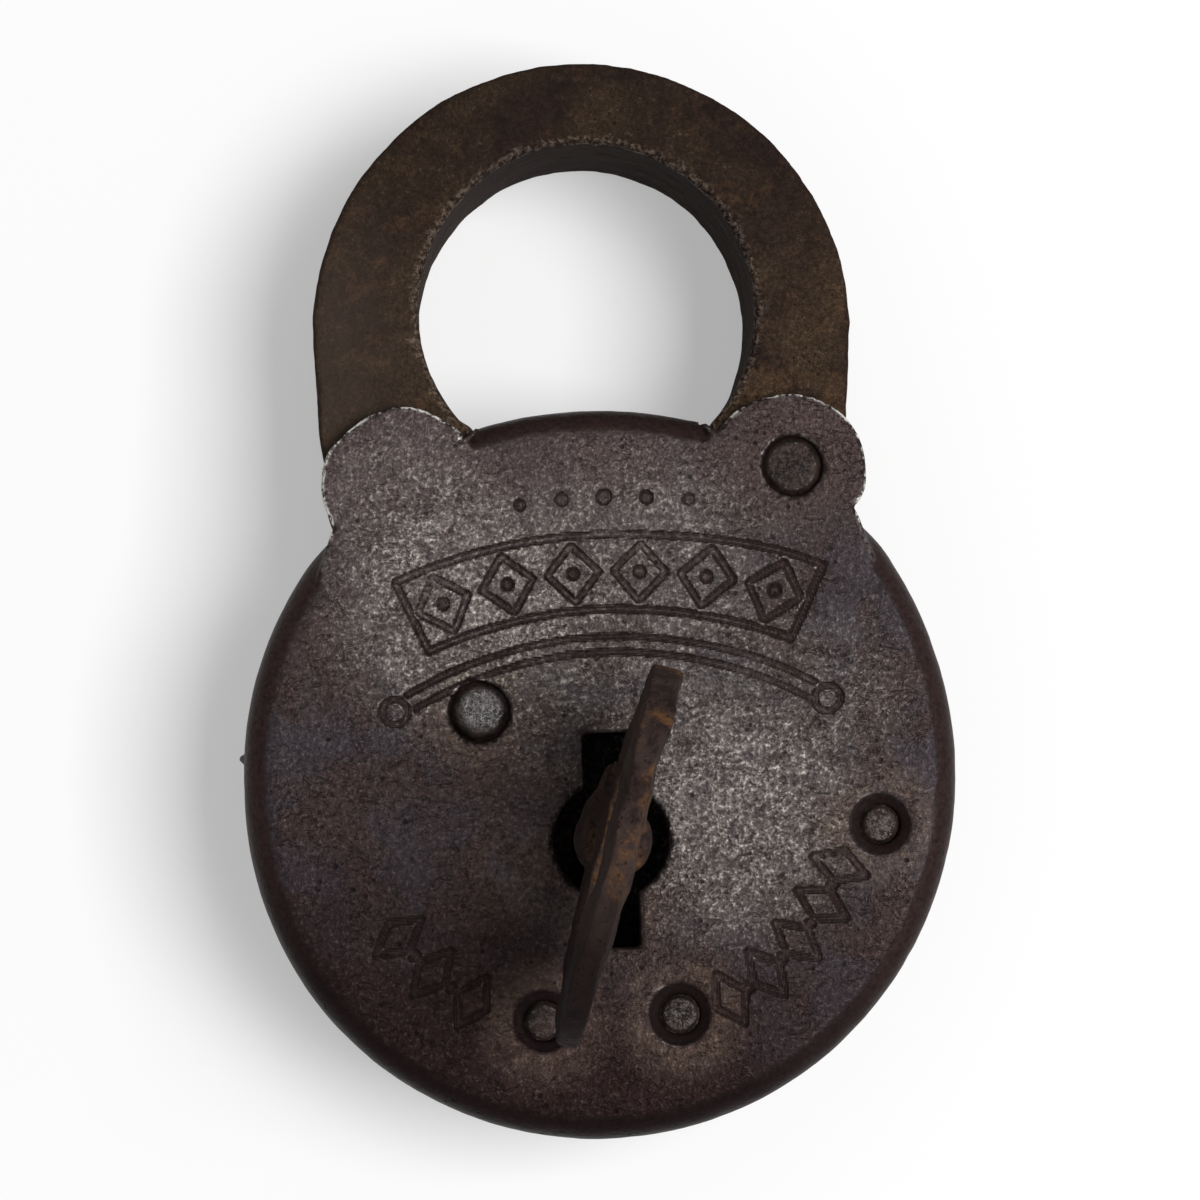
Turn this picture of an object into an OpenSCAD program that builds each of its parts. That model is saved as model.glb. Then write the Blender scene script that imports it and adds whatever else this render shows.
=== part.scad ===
// Old six-lever padlock of two drawn steel shells, with a swinging shackle and its key.
// It lies on its back. The origin is the middle of the round body on the back face,
// +Y points to the shackle and +Z out of the front face, where the key goes in.

/* [Case] */
// Radius of the round body
case_r = 28.7; // [26:0.1:36]
// Depth of the closed case, back face to front face
case_depth = 17.5; // [14:0.1:22]
// Thickness of the steel sheet
sheet = 1.6; // [1.2:0.1:2]
// Outer radius of the drawn edge of each shell
draw_r = 2.8; // [2.1:0.1:3.6]
// How far the crown between the ears stands above the round body
crown_rise = 1.3; // [0:0.1:1.5]
// Radius added to the body's for the flatter crown arc
crown_flat = 2.7; // [1:0.1:5]

/* [Ears] */
// Radius of each ear
ear_r = 5.8; // [5.4:0.1:6.5]
// Distance of the ear centres outside the round body
ear_out = 1; // [0.5:0.1:1.5]
// Angle of the ears from the X axis
ear_angle = 56.7; // [54:0.1:59]
// Radial height of the fillet where each ear runs into the crown
ear_web = 0.8; // [0:0.1:1]
// Radial height of the fillet where each ear runs into the shoulder
notch_web = 0.2; // [0:0.1:1]

/* [Shackle] */
// Distance of the heel leg's inner side from the pivot
leg_in = 6.5; // [6.2:0.1:6.8]
// How much wider the loop is than the gap between the legs
loop_swell = 3.85; // [2:0.05:6]
// Height of the loop's centre above the pivot
loop_lift = 13.3; // [11:0.1:18]
// Mean width of the shackle bar
shackle_w = 8.15; // [7:0.05:9]
// Drop and side shift of the outer arc, which thin the bar at the top and the heel
loop_offset = [-0.4, -1.5]; // [-3:0.1:0]
// Free play between the shackle and each case plate
shackle_play = 0.2; // [0.15:0.05:0.4]
// How far the toe reaches below the ears
toe_drop = 10.8; // [10:0.1:12]
// Depth of the notch in the toe that the levers catch
notch_d = 2.8; // [2:0.1:3.2]

/* [Rivets] */
// Radius of the shackle rivet's shank
pivot_r = 1.9; // [1.6:0.05:2.1]
// Radius of the lever post
post_r = 1.6; // [1.3:0.05:1.9]
// Radius of the case rivets
rivet_r = 1.55; // [1.3:0.05:1.8]
// Radius of the sunk heads of the shackle rivet and the lever post
head_r = 2.35; // [2.25:0.05:2.6]
// Depth of the sunk heads
head_h = 0.8; // [0.5:0.05:1]
// Radius of the dish pressed around each case rivet
dish_r = 2.6; // [2.2:0.05:3]
// Depth of that dish
dish_d = 0.5; // [0.3:0.05:0.8]

/* [Keyhole and key] */
// Keyhole centre
key_at = [0.7, -4.8]; // [-6:0.1:2]
// Radius of the keyhole's round middle
keyhole_r = 4.65; // [4.2:0.05:5]
// Width of the two keyhole slots
slot_w = 4.2; // [3.6:0.1:4.6]
// Reach of the slots from the keyhole centre
slot_reach = 8.6; // [8:0.1:9]
// Radius of the drill pin
pin_r = 1.5; // [1.2:0.05:1.7]
// Radius of the key's hollow stem inside the case
stem_r = 2.6; // [2.2:0.05:2.7]
// Radius of the collar under the bow
collar_r = 3.1; // [2.8:0.05:3.6]
// Thickness of the bits
bit_t = 2.4; // [2:0.1:2.6]
// Angle of the key off its slots, as it is left in the lock
key_rest = 17; // [14:0.5:20]
// Width of the bow across the stem
bow_w = 30; // [24:0.5:32]
// Height of the bow along the stem
bow_h = 20; // [18:0.5:22]
// Thickness of the bow at its middle
bow_t = 3.2; // [2.6:0.1:3.6]
// Height of the bow's foot above the case
bow_lift = 3.6; // [3:0.1:8]
// How far the bow sits off the stem, towards the lower bit
bow_shift = 1.3; // [0:0.1:2]

/* [Levers] */
// Radius on the key at which each lever is lifted, from the back
lifts = [5.3, 6.2, 5.7, 6.4, 5.2, 6]; // [5:0.1:6.5]
// Thickness of a lever
lever_t = 1.2; // [1:0.05:1.25]
// Distance from one lever to the next
lever_pitch = 1.5; // [1.4:0.05:1.6]
// Radius of the levers' hubs
hub_r = 3.2; // [2.8:0.1:3.4]

/* [Springs] */
// Thickness of the lever springs
leaf_t = 0.4; // [0.3:0.05:0.5]
// Thickness of the shackle's kick spring
kick_t = 0.6; // [0.5:0.05:0.8]

/* [Hidden] */
$fn = 96;
run_gap = 0.05;      // radial clearance of a bore that turns on its pin
slip_gap = 0.1;      // radial clearance of a spacer on its post
stack_gap = 0.15;    // end clearance of the lever stack
flank_gap = 0.2;     // between a key flank and its lever
wall_gap = 0.5;      // between a case wall's cut end and what swings past it
tip_gap = 0.35;      // between a spring's free end and what it bears on
head_gap = 0.1;      // around a sunk head in its recess
over = 1;            // overshoot of a cutting tool
half = case_depth / 2;
inner_r = case_r - sheet;
top_in = case_depth - sheet;
bow_foot = case_depth + bow_lift;
lever_n = len(lifts);
stack_h = (lever_n - 1) * lever_pitch + lever_t;
stack_z = (case_depth - stack_h) / 2;

function polar(r, a) = [r * cos(a), r * sin(a)];
function lever_z(i) = stack_z + i * lever_pitch;
function curve(a, b, c, t) = (1 - t) * (1 - t) * a + 2 * t * (1 - t) * b + t * t * c;

ear = polar(case_r + ear_out, ear_angle);
left_ear = [-ear[0], ear[1]];
heel_in = ear[0] - leg_in;
toe_in = 0.3 - heel_in;                     // the toe stands a little nearer the middle
loop_r = heel_in + loop_swell;
loop_at = [0.2, ear[1] + loop_lift];
outer_r = loop_r + shackle_w;
outer_at = loop_at + loop_offset;
toe_reach = ear[0] + 4.5 + ear[0];          // farthest the toe lies from the pivot
eye_r = 5.2;
wall_cut_r = ear_r + 0.6;                   // opening in the wall around the heel
crown_x = toe_in + wall_gap;                // where the crown's wall ends, on both sides
crown_half = 1.5 - crown_x;                 // the crown runs this far under the ears

post_at = [toe_in, ear[1] - 19.05];
lever_rivet_r = case_r - 9;
rivets = [polar(lever_rivet_r, 255), polar(lever_rivet_r, 287), polar(case_r - 6, -10.7)];

u_bit = [-sin(key_rest), -cos(key_rest)];   // along the lower bit at rest
n_bit = [-cos(key_rest), sin(key_rest)];    // out of its left flank
bit_half = bit_t / 2;

nose_x = toe_in + 0.25;                     // tip of the lever noses at rest
nose_y = ear[1] - 7.2;
notch_y = nose_y;
leaf_root = post_at + [0.8, -7];
leaf_tip = polar(inner_r - tip_gap, 210);
leaf_bend = [-0.64 * inner_r, post_at[1] - 8];
leaf_steps = 8;

// ---- Case ----

// Half section of a drawn cup: r wide, h high, with its outer edge rounded by e.
module cup_section(r, h, e) {
    square([r - e, h]);
    square([r, h - e]);
    translate([r - e, h - e]) circle(e);
}

// A cup with its face up, from z = 0 to half, shrunk by inset on every outer side.
module cup_block(inset) {
    rotate_extrude() intersection() {
        cup_section(case_r - inset, half - inset, draw_r - inset);
        square([case_r, half]);
    }
    translate([0, crown_rise - crown_flat, 0]) intersection() {
        rotate_extrude() intersection() {
            cup_section(case_r + crown_flat - inset, half - inset, draw_r - inset);
            square([case_r + crown_flat, half]);
        }
        translate([-crown_half, case_r / 2, 0]) cube([2 * crown_half, case_r, half]);
    }
}

// Outline of the flat ears, with the webs that carry them into the face.
module ear_plan() {
    for (side = [-1, 1]) {
        translate([side * ear[0], ear[1]]) circle(ear_r);
        polygon([
            [0, 0],
            for (p = [
                polar(case_r - draw_r / 2, ear_angle - 20),
                polar(case_r + notch_web, ear_angle - 12.5),
                ear,
                polar(case_r + ear_web, ear_angle + 14)
            ]) [side * p[0], p[1]]
        ]);
    }
}

// What is open in the side wall, so that both legs pass and the toe swings out.
module leg_gates() {
    translate(ear) circle(wall_cut_r);
    translate([-crown_x, ear[1] - 4]) square([ear[0] + crown_x, ear_r + 8]);
    intersection() {
        difference() {
            translate(ear) circle(toe_reach + wall_gap);
            translate(ear) circle(ear[0] - crown_x);
        }
        translate([-case_r - ear_r, ear[1] - 7]) square([case_r + ear_r + crown_x, ear_r + 14]);
    }
}

// One drawn shell, face up: a cup whose face runs out into two ears.
module shell() {
    difference() {
        cup_block(0);
        translate([0, 0, -over]) {
            cup_block(sheet);
            linear_extrude(half - sheet) leg_gates();
        }
        linear_extrude(half - sheet) leg_gates();
        cup_block(sheet);
    }
    translate([0, 0, half - sheet]) linear_extrude(sheet) ear_plan();
}

// Seats for the rivets in a plate whose outer face is up at z = 0.
module rivet_seats() {
    for (seat = [[ear, pivot_r], [post_at, post_r]]) translate(seat[0]) {
        translate([0, 0, -sheet - over]) cylinder(r = seat[1], h = sheet + 2 * over);
        translate([0, 0, -head_h]) cylinder(r = head_r + head_gap, h = head_h + over);
    }
    for (at = rivets) translate(at) {
        translate([0, 0, -sheet - over]) cylinder(r = rivet_r, h = sheet + 2 * over);
        translate([0, 0, -dish_d]) cylinder(r1 = rivet_r, r2 = dish_r, h = dish_d);
    }
}

module keyhole() {
    circle(keyhole_r);
    square([slot_w, 2 * slot_reach], center = true);
}

module front_case() {
    color("#5a4c47") difference() {
        translate([0, 0, half]) shell();
        translate([0, 0, case_depth]) rivet_seats();
        translate([key_at[0], key_at[1], top_in - over]) linear_extrude(sheet + 2 * over) keyhole();
    }
}

module back_case() {
    color("#4a3c36") difference() {
        translate([0, 0, half]) mirror([0, 0, 1]) shell();
        mirror([0, 0, 1]) rivet_seats();
        translate([key_at[0], key_at[1], -over]) cylinder(r = pin_r, h = sheet + 2 * over);
    }
}

// ---- Shackle and its rivet ----

module shackle_plan() {
    difference() {
        union() {
            translate(outer_at) intersection() {
                circle(outer_r);
                translate([-outer_r, 0]) square([2 * outer_r, outer_r]);
            }
            polygon([
                [outer_at[0] - outer_r, outer_at[1]],
                left_ear + [-5.4, 3.2],
                left_ear + [-4.3, -3.8],
                left_ear + [-2.4, -toe_drop],
                [toe_in, ear[1] - toe_drop],
                [toe_in, outer_at[1]]
            ]);
            polygon([
                [heel_in, outer_at[1]],
                [heel_in, ear[1]],
                ear,
                ear + [4.4, 0],
                ear + [4.4, 5.2],
                [outer_at[0] + outer_r, outer_at[1]]
            ]);
        }
        translate(loop_at) circle(loop_r);
        translate([toe_in, ear[1] - toe_drop - over])
            square([heel_in - toe_in, toe_drop + loop_lift]);
    }
    translate(ear) circle(eye_r);
    translate(ear) polygon([[-1.5, -4], [-1.1, -8.6], [1.8, -8.6], [2.2, -4]]);
}

module shackle() {
    color("#4a3d2e") translate([0, 0, sheet + shackle_play]) difference() {
        linear_extrude(case_depth - 2 * sheet - 2 * shackle_play) difference() {
            shackle_plan();
            translate([toe_in - notch_d, notch_y - 2]) square([notch_d + over, 4]);
        }
        translate([ear[0], ear[1], -over]) cylinder(r = pivot_r + run_gap, h = case_depth);
    }
}

// A rivet through both plates with sunk heads that stop just short of the faces.
module headed_rivet(at, r) {
    translate([at[0], at[1], 0]) {
        translate([0, 0, head_gap]) cylinder(r = head_r, h = head_h - head_gap);
        translate([0, 0, head_h]) cylinder(r = r, h = case_depth - 2 * head_h);
        translate([0, 0, case_depth - head_h]) cylinder(r = head_r, h = head_h - head_gap);
    }
}

module shackle_rivet() {
    color("#564b45") headed_rivet(ear, pivot_r);
}

module lever_post() {
    color("#6b6563") headed_rivet(post_at, post_r);
}

module case_rivet(at) {
    color("#5f5654") translate([at[0], at[1], head_gap])
        cylinder(r = rivet_r, h = case_depth - 2 * head_gap);
}

// ---- Levers, their springs and spacers ----

// The flat leaf spring of a lever, rooted in the lever and bearing on the case wall.
module leaf_plan() {
    points = [for (k = [0:leaf_steps]) curve(leaf_root, leaf_bend, leaf_tip, k / leaf_steps)];
    drop = [0.15, -leaf_t];
    polygon(concat(points, [for (k = [leaf_steps:-1:0]) points[k] + drop]));
}

module lever_plan(lift) {
    tab_out = key_at + (lift + 0.35) * u_bit + (bit_half + flank_gap) * n_bit;
    tab_in = key_at + (lift - 0.7) * u_bit + (bit_half + flank_gap) * n_bit;
    difference() {
        union() {
            translate(post_at) circle(hub_r);
            // Upper arm and hooked nose
            polygon([
                post_at + [3.1, 0.6],
                [nose_x + 4.3, nose_y - 4.6],
                [nose_x + 4.3, nose_y + 1.6],
                [nose_x + 1.5, nose_y + 1.6],
                [nose_x, nose_y + 1.2],
                [nose_x, nose_y - 1.2],
                [nose_x + 1.5, nose_y - 1.5],
                [nose_x + 1.5, nose_y - 4.6],
                post_at + [-2.6, 1.8]
            ]);
            // Lower arm and the tab that the key lifts
            polygon([
                post_at + [-3.1, -0.6],
                post_at + [0.4, tab_out[1] - post_at[1] - 0.6],
                tab_out,
                tab_in,
                post_at + [3.2, tab_in[1] - post_at[1] + 1.6],
                post_at + [3.1, -0.6]
            ]);
        }
        translate(post_at) circle(post_r + run_gap);
        leaf_plan();
    }
}

module lever(i) {
    color("#8a6d3a") translate([0, 0, lever_z(i)]) linear_extrude(lever_t) lever_plan(lifts[i]);
}

module lever_spring(i) {
    color("#6e6a60") translate([0, 0, lever_z(i) + 0.1]) linear_extrude(lever_t - 0.2) leaf_plan();
}

// A tube that keeps the lever stack off a case plate.
module post_spacer(z_low, z_high) {
    color("#4d4a48") translate([post_at[0], post_at[1], z_low]) difference() {
        cylinder(r = hub_r, h = z_high - z_low);
        translate([0, 0, -over]) cylinder(r = post_r + slip_gap, h = z_high - z_low + 2 * over);
    }
}

// ---- Drill pin, kick spring and key ----

module drill_pin() {
    color("#55504c") translate([key_at[0], key_at[1], head_gap])
        cylinder(r = pin_r, h = top_in - 1.4 - head_gap);
}

// A strip that hooks around the side rivet and presses the heel's tail inwards.
module kick_spring() {
    side = rivets[2];
    run = [side + [1.45, 0], side + [0.6, 9.5], ear + [2.4, -10.6], ear + [2.2, -7.2]];
    last = len(run) - 1;
    color("#4c4a44") translate([0, 0, sheet + 2]) linear_extrude(case_depth - 2 * sheet - 4)
        difference() {
            union() {
                translate(side) circle(rivet_r + kick_t);
                polygon(concat([for (p = run) p + [kick_t, 0]], [for (k = [last:-1:0]) run[k]]));
            }
            translate(side) circle(rivet_r);
        }
}

module bow_plan() {
    end_x = (bow_w - bow_h) / 2;
    hole_r = bow_h / 2 - 5.8;
    difference() {
        union() {
            for (x = [-end_x, end_x]) translate([x, bow_h / 2]) circle(bow_h / 2);
            translate([-end_x, 0]) square([2 * end_x, bow_h]);
        }
        for (x = [-end_x + 1, end_x - 1]) translate([x, bow_h / 2]) circle(hole_r);
        translate([-end_x + 1, bow_h / 2 - hole_r]) square([2 * end_x - 2, 2 * hole_r]);
    }
}

// Plan of the bow from above: thick in the middle, thin at both ends.
module bow_lens() {
    lens_r = 160;
    intersection() {
        translate([0, lens_r - bow_t / 2]) circle(lens_r, $fn = 400);
        translate([0, bow_t / 2 - lens_r]) circle(lens_r, $fn = 400);
        square([bow_w + 2, bow_t + 2], center = true);
    }
}

module key() {
    stem_z = sheet + 0.8;
    color("#6b4a30") translate([key_at[0], key_at[1], 0]) rotate([0, 0, -key_rest]) {
        difference() {
            union() {
                translate([0, 0, stem_z]) cylinder(r = stem_r, h = bow_foot - stem_z);
                translate([0, 0, case_depth + 1]) cylinder(r = collar_r, h = bow_lift + 0.6);
                for (i = [0:lever_n - 1]) {
                    reach = lifts[i] + 0.45;
                    pad = (lever_pitch - lever_t) / 2;
                    translate([-bit_half, -reach, lever_z(i) - pad])
                        cube([bit_t, 2 * reach, lever_pitch]);
                }
            }
            translate([0, 0, stem_z - over])
                cylinder(r = pin_r + run_gap, h = top_in - stem_z + over);
        }
        rotate([0, 0, 90]) translate([-bow_shift, 0, 0]) intersection() {
            translate([0, bow_t, bow_foot]) rotate([90, 0, 0]) linear_extrude(2 * bow_t) bow_plan();
            translate([0, 0, bow_foot - 1]) linear_extrude(bow_h + 2) bow_lens();
        }
    }
}

front_case();
back_case();
shackle();
shackle_rivet();
lever_post();
case_rivet(rivets[0]);  // case_rivet_left
case_rivet(rivets[1]);  // case_rivet_right
case_rivet(rivets[2]);  // case_rivet_side
lever(0);  // lever_1
lever(1);  // lever_2
lever(2);  // lever_3
lever(3);  // lever_4
lever(4);  // lever_5
lever(5);  // lever_6
lever_spring(0);  // lever_spring_1
lever_spring(1);  // lever_spring_2
lever_spring(2);  // lever_spring_3
lever_spring(3);  // lever_spring_4
lever_spring(4);  // lever_spring_5
lever_spring(5);  // lever_spring_6
post_spacer(sheet, stack_z - stack_gap);  // post_spacer_back
post_spacer(stack_z + stack_h + stack_gap, top_in);  // post_spacer_front
drill_pin();
kick_spring();
key();
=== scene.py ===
"""Looks of an old six-lever padlock that lies on its back with its key in it."""

import logging
import math
from dataclasses import dataclass, field
from enum import Enum
from functools import cached_property, reduce
from typing import Any

import bpy
import numpy as np
from mathutils import Matrix, Vector, noise


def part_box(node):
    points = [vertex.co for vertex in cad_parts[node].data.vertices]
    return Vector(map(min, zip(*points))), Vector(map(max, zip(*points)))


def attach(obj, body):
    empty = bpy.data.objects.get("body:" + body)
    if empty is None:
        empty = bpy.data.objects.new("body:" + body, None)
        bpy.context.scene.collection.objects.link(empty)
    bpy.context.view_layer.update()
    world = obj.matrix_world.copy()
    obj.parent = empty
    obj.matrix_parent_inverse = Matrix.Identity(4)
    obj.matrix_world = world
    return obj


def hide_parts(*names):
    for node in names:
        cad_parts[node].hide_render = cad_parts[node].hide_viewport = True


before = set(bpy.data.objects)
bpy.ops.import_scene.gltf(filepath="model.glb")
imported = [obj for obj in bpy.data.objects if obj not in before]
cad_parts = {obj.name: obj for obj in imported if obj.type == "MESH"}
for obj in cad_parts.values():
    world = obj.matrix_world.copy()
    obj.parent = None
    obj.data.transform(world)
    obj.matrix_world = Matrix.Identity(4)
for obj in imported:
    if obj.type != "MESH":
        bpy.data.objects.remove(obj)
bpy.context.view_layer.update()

log = logging.getLogger("padlock")

MM = 0.001
Colour = tuple[float, float, float]
Flat = tuple[float, float]
Piece = bpy.types.Object
Material = bpy.types.Material
WHITE: Colour = (1.0, 1.0, 1.0)


# ---- Shader building ----


@dataclass(frozen=True)
class Wire:
    """An output socket of a shader tree, on which sums are written as plain expressions."""

    graph: "Graph"
    socket: bpy.types.NodeSocket

    def _sum(self, operation: str, *terms: Any) -> "Wire":
        """Adds one Math node.

        Args:
            operation: the Math node's operation.
            terms: its inputs in order, numbers or wires.

        Returns:
            The node's output.
        """
        node = self.graph.add("Math", dict(enumerate(terms)), operation=operation)
        return Wire(self.graph, node.outputs[0])

    def __add__(self, other: Any) -> "Wire":
        """Gives self + other."""
        return self._sum("ADD", self, other)

    def __radd__(self, other: Any) -> "Wire":
        """Gives other + self."""
        return self._sum("ADD", other, self)

    def __sub__(self, other: Any) -> "Wire":
        """Gives self - other."""
        return self._sum("SUBTRACT", self, other)

    def __rsub__(self, other: Any) -> "Wire":
        """Gives other - self."""
        return self._sum("SUBTRACT", other, self)

    def __mul__(self, other: Any) -> "Wire":
        """Gives self * other."""
        return self._sum("MULTIPLY", self, other)

    def __rmul__(self, other: Any) -> "Wire":
        """Gives other * self."""
        return self._sum("MULTIPLY", other, self)

    def most(self, other: Any) -> "Wire":
        """Gives the larger of self and other."""
        return self._sum("MAXIMUM", self, other)

    def least(self, other: Any) -> "Wire":
        """Gives the smaller of self and other."""
        return self._sum("MINIMUM", self, other)

    def size(self) -> "Wire":
        """Gives self without its sign."""
        return self._sum("ABSOLUTE", self)

    def rise(self, low: Any, high: Any) -> "Wire":
        """Gives a smooth step over self.

        Args:
            low: where the step is 0; it may be above high.
            high: where the step is 1.

        Returns:
            The step, from 0 to 1.
        """
        node = self.graph.add(
            "MapRange",
            {"Value": self, "From Min": low, "From Max": high},
            interpolation_type="SMOOTHSTEP",
        )
        return Wire(self.graph, node.outputs[0])


class Graph:
    """The node tree of one material or of the world, with coordinates in millimetres."""

    def __init__(self, owner: Material | bpy.types.World) -> None:
        """Empties the node tree of a material or of the world."""
        owner.use_nodes = True
        self.owner, self.tree = owner, owner.node_tree
        self.tree.nodes.clear()

    @cached_property
    def place(self) -> Wire:
        """The place on the piece, in millimetres."""
        coordinates = self.add("TexCoord")
        return self.vector("SCALE", coordinates.outputs["Object"], Scale=1 / MM)

    def add(self, kind: str, sockets: dict | None = None, **settings: Any) -> bpy.types.Node:
        """Adds a node, sets it up, then fills or links its inputs.

        Args:
            kind: the node's type, without the ShaderNode that all begin with.
            sockets: values or wires by input name or number.
            settings: attributes of the node.

        Returns:
            The node.
        """
        node = self.tree.nodes.new("ShaderNode" + kind)
        for key, value in settings.items():
            setattr(node, key, value)
        for key, value in (sockets or {}).items():
            if isinstance(value, Wire):
                value = value.socket
            if isinstance(value, bpy.types.NodeSocket):
                self.tree.links.new(value, node.inputs[key])
            elif isinstance(value, tuple) and node.inputs[key].type == "RGBA":
                node.inputs[key].default_value = (*value, 1)
            else:
                node.inputs[key].default_value = value
        return node

    def vector(self, operation: str, *terms: Any, **named: Any) -> Wire:
        """Adds a Vector Math node.

        Args:
            operation: its operation.
            terms: its vectors in order.
            named: its other inputs by name.

        Returns:
            Its vector, or its value where the operation gives a number.
        """
        node = self.add("VectorMath", dict(enumerate(terms)) | named, operation=operation)
        return Wire(self, node.outputs["Value" if operation == "DISTANCE" else "Vector"])

    def noise(
        self, per_mm: float, detail: float = 2, rough: float = 0.55, warp: float = 0,
        shift: float = 0, along: float = 1,
    ) -> Wire:
        """Gives cloudy noise around 0.5.

        Args:
            per_mm: how fine it is, in lumps for each millimetre.
            detail: how many finer layers it has.
            rough: how strong those are.
            warp: how far it is distorted.
            shift: moves it, so that two noises differ.
            along: how many times longer its lumps are from left to right.

        Returns:
            The noise.
        """
        moved = (shift, -shift, 2 * shift)
        place = self.vector("MULTIPLY_ADD", self.place, (1 / along, 1, 1), moved)
        sockets = {"Vector": place, "Scale": per_mm, "Detail": detail, "Roughness": rough}
        sockets["Distortion"] = warp
        return Wire(self, self.add("TexNoise", sockets).outputs[0])

    def cells(self, per_mm: float, shift: float) -> Wire:
        """Gives the distance to the nearest of scattered points, in cell sizes.

        Args:
            per_mm: cells for each millimetre.
            shift: moves the points, so that two patterns differ.

        Returns:
            The distance.
        """
        place = self.vector("ADD", self.place, (shift, shift, shift))
        node = self.add("TexVoronoi", {"Vector": place, "Scale": per_mm})
        return Wire(self, node.outputs["Distance"])

    def stored(self, name: str) -> Wire:
        """Gives a number that is stored on the piece's points."""
        node = self.add("Attribute", attribute_name=name)
        return Wire(self, node.outputs["Fac"])

    def axes(self) -> list[Wire]:
        """Gives the place on the piece as x, y and z, in millimetres."""
        node = self.add("SeparateXYZ", {0: self.place})
        return [Wire(self, output) for output in node.outputs]

    def near(self, x: float, y: float, inner: float, outer: float) -> Wire:
        """Gives 1 near an upright line through x, y, falling to 0 away from it.

        Args:
            x: the line's place from left to right, in millimetres.
            y: its place from the key's side to the shackle's.
            inner: distance up to which it is 1.
            outer: distance from which it is 0.

        Returns:
            The mask.
        """
        flat = self.vector("MULTIPLY", self.place, (1, 1, 0))
        return self.vector("DISTANCE", flat, (x, y, 0)).rise(outer, inner)

    def blend(self, amount: Any, first: Any, second: Any, mode: str = "MIX") -> Wire:
        """Mixes two colours.

        Args:
            amount: how much of the second.
            first: colour or wire.
            second: colour or wire.
            mode: the Mix node's blend type.

        Returns:
            The mixed colour.
        """
        node = self.add(
            "Mix", {0: amount, 6: first, 7: second},
            data_type="RGBA", blend_type=mode, clamp_factor=True,
        )
        return Wire(self, node.outputs[2])

    def seen(self) -> Wire:
        """Gives 1 where the camera looks, straight or by a mirror or through glass."""
        rays = self.add("LightPath").outputs
        straight, mirrored, through = (
            Wire(self, rays[f"Is {kind} Ray"]) for kind in ("Camera", "Glossy", "Transmission")
        )
        return straight.most(mirrored).most(through)

    def end(self, shader: bpy.types.Node, output: str = "OutputMaterial") -> Any:
        """Makes a shader the tree's surface, and returns the tree's owner."""
        self.add(output, {0: shader.outputs[0]})
        return self.owner

    def finish(
        self, colour: Wire, metallic: Wire, roughness: Wire, relief: Wire, depth_mm: float,
        specular: float,
    ) -> Material:
        """Ends the tree in one surface shader.

        Args:
            colour: base colour.
            metallic: share of bare metal.
            roughness: roughness.
            relief: height of the fine relief, from 0 to 1.
            depth_mm: how deep the relief is from 0 to 1, in millimetres.
            specular: level of the dielectric reflection.

        Returns:
            The material.
        """
        bump = self.add("Bump", {"Distance": depth_mm * MM, "Height": relief})
        sockets = {"Base Color": colour, "Metallic": metallic, "Roughness": roughness}
        sockets |= {"Specular IOR Level": specular, "Normal": bump.outputs[0]}
        return self.end(self.add("BsdfPrincipled", sockets))


# ---- Places on the piece ----


def centre_of(node: str) -> Flat:
    """Gives the middle of a CAD node seen from above, in metres."""
    low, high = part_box(node)
    return ((low.x + high.x) / 2, (low.y + high.y) / 2)


@dataclass(frozen=True)
class Seat:
    """A rivet's seat in the case: radii in millimetres, and shares of its dish's painted shade, its
    lip's painted highlight and its stain.
    """

    node: str
    dish_shade_r: float
    dish_r: float
    dish_shade: float
    shine: float
    stain: float = 1.0


SEATS = (
    Seat("shackle_rivet", 2.42, 2.45, 0.95, 0.8, stain=0.25),
    Seat("lever_post", 2.42, 2.45, 0.95, 0.6),
    Seat("case_rivet_left", 2.50, 2.55, 0.25, 0.0),
    Seat("case_rivet_right", 2.50, 2.55, 0.62, 0.15),
    Seat("case_rivet_side", 2.50, 2.55, 0.62, 0.15),
)


@dataclass(frozen=True)
class Patch:
    """A rubbed patch of the face, which also paints a broad sheen: its middle and radii in
    millimetres, and how bare it is.
    """

    x: float
    y: float
    inner: float
    outer: float
    share: float


# ---- Finishes ----


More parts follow.
